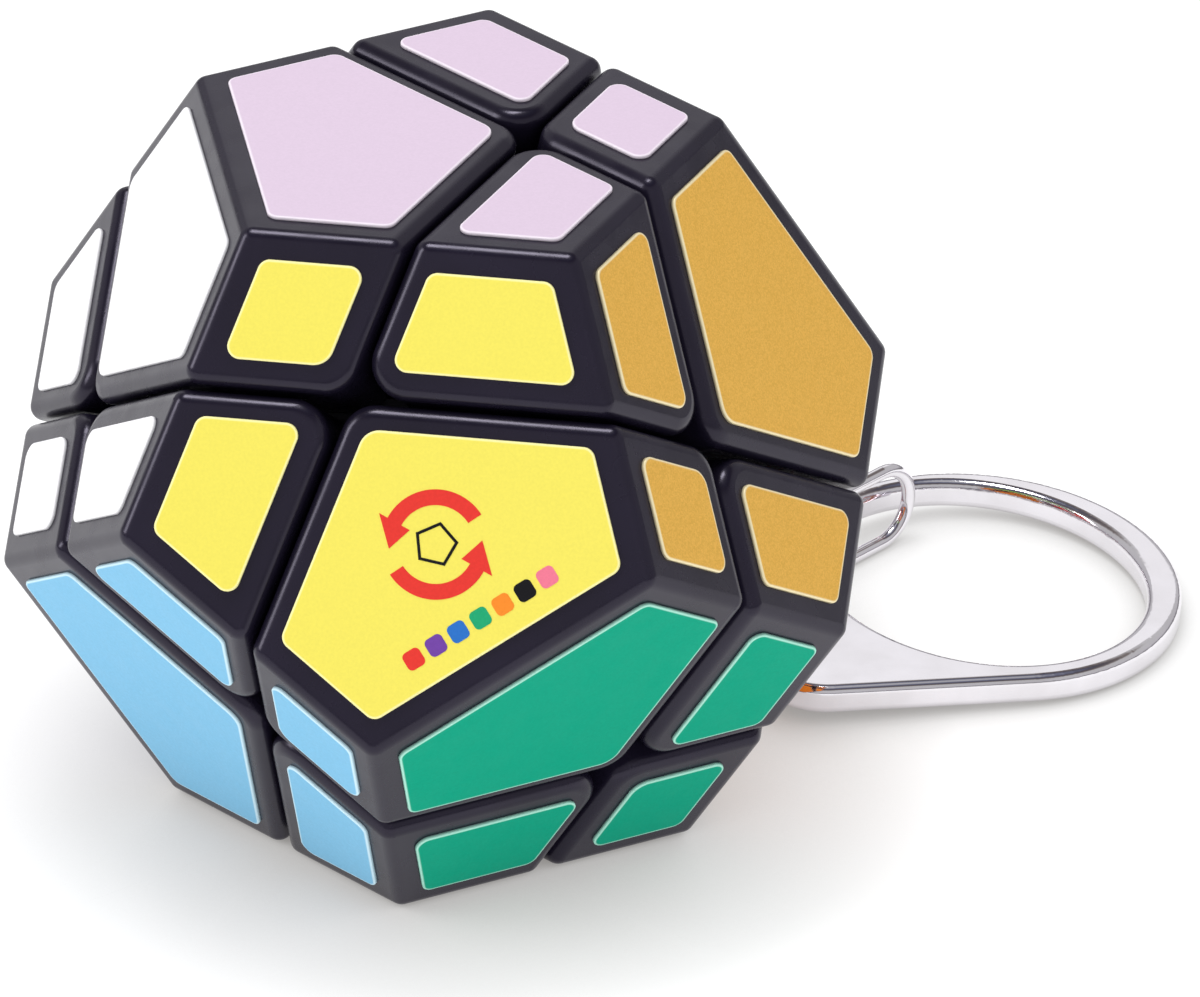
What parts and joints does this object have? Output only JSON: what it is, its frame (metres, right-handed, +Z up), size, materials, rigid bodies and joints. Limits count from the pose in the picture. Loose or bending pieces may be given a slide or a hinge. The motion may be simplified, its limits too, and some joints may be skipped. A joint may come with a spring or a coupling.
{
  "type": "dodecahedron twisty puzzle",
  "caption": "Pocket twisty puzzle with twelve pentagonal faces, cut by deep planes into corners and edges that turn about four pivots, on a chain link and key ring.",
  "frame": {"origin": "centre of the face that the puzzle stands on, at the outer surface of its sticker", "axes": "+Z up, square to the face it stands on; the front face leans towards -Y; the key ring lies on the +X +Y side"},
  "size_m": [0.062, 0.059, 0.0404],
  "materials": {
    "shell_plastic": "satin",
    "foot_plastic": "satin",
    "core_nylon": "satin",
    "sticker_vinyl": "satin",
    "screw_steel": "satin",
    "nickel_plate": "polished"
  },
  "bodies": {
    "core": {"core": "core_nylon", "pivot_screws": "screw_steel", "pivot_washers": "screw_steel", "pivot_springs": "screw_steel"},
    "pivot_corner_a": {"pivot_corner_a_shell": "shell_plastic", "pivot_corner_a_foot": "foot_plastic", "pivot_corner_a_stickers": "sticker_vinyl", "screw_eye": "nickel_plate"},
    "pivot_corner_b": {"pivot_corner_b_shell": "shell_plastic", "pivot_corner_b_foot": "foot_plastic", "pivot_corner_b_stickers": "sticker_vinyl"},
    "pivot_corner_c": {"pivot_corner_c_shell": "shell_plastic", "pivot_corner_c_foot": "foot_plastic", "pivot_corner_c_stickers": "sticker_vinyl"},
    "pivot_corner_d": {"pivot_corner_d_shell": "shell_plastic", "pivot_corner_d_foot": "foot_plastic", "pivot_corner_d_stickers": "sticker_vinyl"},
    "edge_ab": {"edge_ab_shell": "shell_plastic", "edge_ab_foot": "foot_plastic", "edge_ab_stickers": "sticker_vinyl"},
    "edge_ac": {"edge_ac_shell": "shell_plastic", "edge_ac_foot": "foot_plastic", "edge_ac_stickers": "sticker_vinyl"},
    "edge_ad": {"edge_ad_shell": "shell_plastic", "edge_ad_foot": "foot_plastic", "edge_ad_stickers": "sticker_vinyl"},
    "edge_bc": {"edge_bc_shell": "shell_plastic", "edge_bc_foot": "foot_plastic", "edge_bc_stickers": "sticker_vinyl"},
    "edge_bd": {"edge_bd_shell": "shell_plastic", "edge_bd_foot": "foot_plastic", "edge_bd_stickers": "sticker_vinyl"},
    "edge_cd": {"edge_cd_shell": "shell_plastic", "edge_cd_foot": "foot_plastic", "edge_cd_stickers": "sticker_vinyl"},
    "loose_corner_abc": {"loose_corner_abc_shell": "shell_plastic", "loose_corner_abc_foot": "foot_plastic", "loose_corner_abc_stickers": "sticker_vinyl"},
    "loose_corner_abd": {"loose_corner_abd_shell": "shell_plastic", "loose_corner_abd_foot": "foot_plastic", "loose_corner_abd_stickers": "sticker_vinyl"},
    "loose_corner_acd": {"loose_corner_acd_shell": "shell_plastic", "loose_corner_acd_foot": "foot_plastic", "loose_corner_acd_stickers": "sticker_vinyl"},
    "loose_corner_bcd": {"loose_corner_bcd_shell": "shell_plastic", "loose_corner_bcd_foot": "foot_plastic", "loose_corner_bcd_stickers": "sticker_vinyl"},
    "chain_link_1": {"chain_link_1": "nickel_plate"},
    "chain_link_2": {"chain_link_2": "nickel_plate"},
    "key_ring": {"key_ring": "nickel_plate"}
  },
  "joints": [
    {"name": "twist_a", "type": "hinge", "parent": "core", "child": "pivot_corner_a", "pos_m": [0, 0, 0.0202], "axis": [0.5774, 0.7947, -0.1876], "range_deg": [-360, 360]},
    {"name": "twist_b", "type": "hinge", "parent": "core", "child": "pivot_corner_b", "pos_m": [0, 0, 0.0202], "axis": [0.3568, -0.4911, 0.7947], "continuous": true},
    {"name": "twist_c", "type": "hinge", "parent": "core", "child": "pivot_corner_c", "pos_m": [0, 0, 0.0202], "axis": [-0.9342, 0.3035, 0.1876], "range_deg": [-360, 360]},
    {"name": "twist_d", "type": "hinge", "parent": "core", "child": "pivot_corner_d", "pos_m": [0, 0, 0.0202], "axis": [0, -0.6071, -0.7947], "range_deg": [-360, 360]},
    {"name": "edge_ab_turns_with_b", "type": "hinge", "parent": "pivot_corner_a", "child": "edge_ab", "pos_m": [0, 0, 0.0202], "axis": [0.3568, -0.4911, 0.7947], "continuous": true},
    {"name": "edge_ac_turns_with_c", "type": "hinge", "parent": "pivot_corner_a", "child": "edge_ac", "pos_m": [0, 0, 0.0202], "axis": [-0.9342, 0.3035, 0.1876], "range_deg": [-360, 360]},
    {"name": "edge_ad_turns_with_d", "type": "hinge", "parent": "pivot_corner_a", "child": "edge_ad", "pos_m": [0, 0, 0.0202], "axis": [0, -0.6071, -0.7947], "range_deg": [-360, 360]},
    {"name": "edge_bc_turns_with_c", "type": "hinge", "parent": "pivot_corner_b", "child": "edge_bc", "pos_m": [0, 0, 0.0202], "axis": [-0.9342, 0.3035, 0.1876], "range_deg": [-360, 360]},
    {"name": "edge_bd_turns_with_d", "type": "hinge", "parent": "pivot_corner_b", "child": "edge_bd", "pos_m": [0, 0, 0.0202], "axis": [0, -0.6071, -0.7947], "range_deg": [-360, 360]},
    {"name": "edge_cd_turns_with_d", "type": "hinge", "parent": "pivot_corner_c", "child": "edge_cd", "pos_m": [0, 0, 0.0202], "axis": [0, -0.6071, -0.7947], "range_deg": [-360, 360]},
    {"name": "loose_corner_abc_turns_with_c", "type": "hinge", "parent": "edge_ab", "child": "loose_corner_abc", "pos_m": [0, 0, 0.0202], "axis": [-0.9342, 0.3035, 0.1876], "range_deg": [-360, 360]},
    {"name": "loose_corner_abd_turns_with_d", "type": "hinge", "parent": "edge_ab", "child": "loose_corner_abd", "pos_m": [0, 0, 0.0202], "axis": [0, -0.6071, -0.7947], "range_deg": [-360, 360]},
    {"name": "loose_corner_acd_turns_with_d", "type": "hinge", "parent": "edge_ac", "child": "loose_corner_acd", "pos_m": [0, 0, 0.0202], "axis": [0, -0.6071, -0.7947], "range_deg": [-360, 360]},
    {"name": "loose_corner_bcd_turns_with_d", "type": "hinge", "parent": "edge_bc", "child": "loose_corner_bcd", "pos_m": [0, 0, 0.0202], "axis": [0, -0.6071, -0.7947], "range_deg": [-360, 360]},
    {"name": "link_1_swing", "type": "hinge", "parent": "pivot_corner_a", "child": "chain_link_1", "pos_m": [0.0157, 0.02161, 0.0133], "axis": [0.5878, 0.809, 0], "range_deg": [-20, 20]},
    {"name": "link_2_swing", "type": "hinge", "parent": "chain_link_1", "child": "chain_link_2", "pos_m": [0.0157, 0.02161, 0.00357], "axis": [-0.8192, 0.5736, 0], "range_deg": [-30, 45]},
    {"name": "key_ring_swing", "type": "hinge", "parent": "chain_link_2", "child": "key_ring", "pos_m": [0.0165, 0.02275, 0.0019], "axis": [0, -1, 0], "range_deg": [0, 40]}
  ],
  "couplings": [
    {"joint": "edge_ab_turns_with_b", "follows": "twist_b", "ratio": 1},
    {"joint": "edge_ac_turns_with_c", "follows": "twist_c", "ratio": 1},
    {"joint": "edge_ad_turns_with_d", "follows": "twist_d", "ratio": 1},
    {"joint": "edge_bc_turns_with_c", "follows": "twist_c", "ratio": 1},
    {"joint": "edge_bd_turns_with_d", "follows": "twist_d", "ratio": 1},
    {"joint": "edge_cd_turns_with_d", "follows": "twist_d", "ratio": 1},
    {"joint": "loose_corner_abc_turns_with_c", "follows": "twist_c", "ratio": 1},
    {"joint": "loose_corner_abd_turns_with_d", "follows": "twist_d", "ratio": 1},
    {"joint": "loose_corner_acd_turns_with_d", "follows": "twist_d", "ratio": 1},
    {"joint": "loose_corner_bcd_turns_with_d", "follows": "twist_d", "ratio": 1}
  ]
}
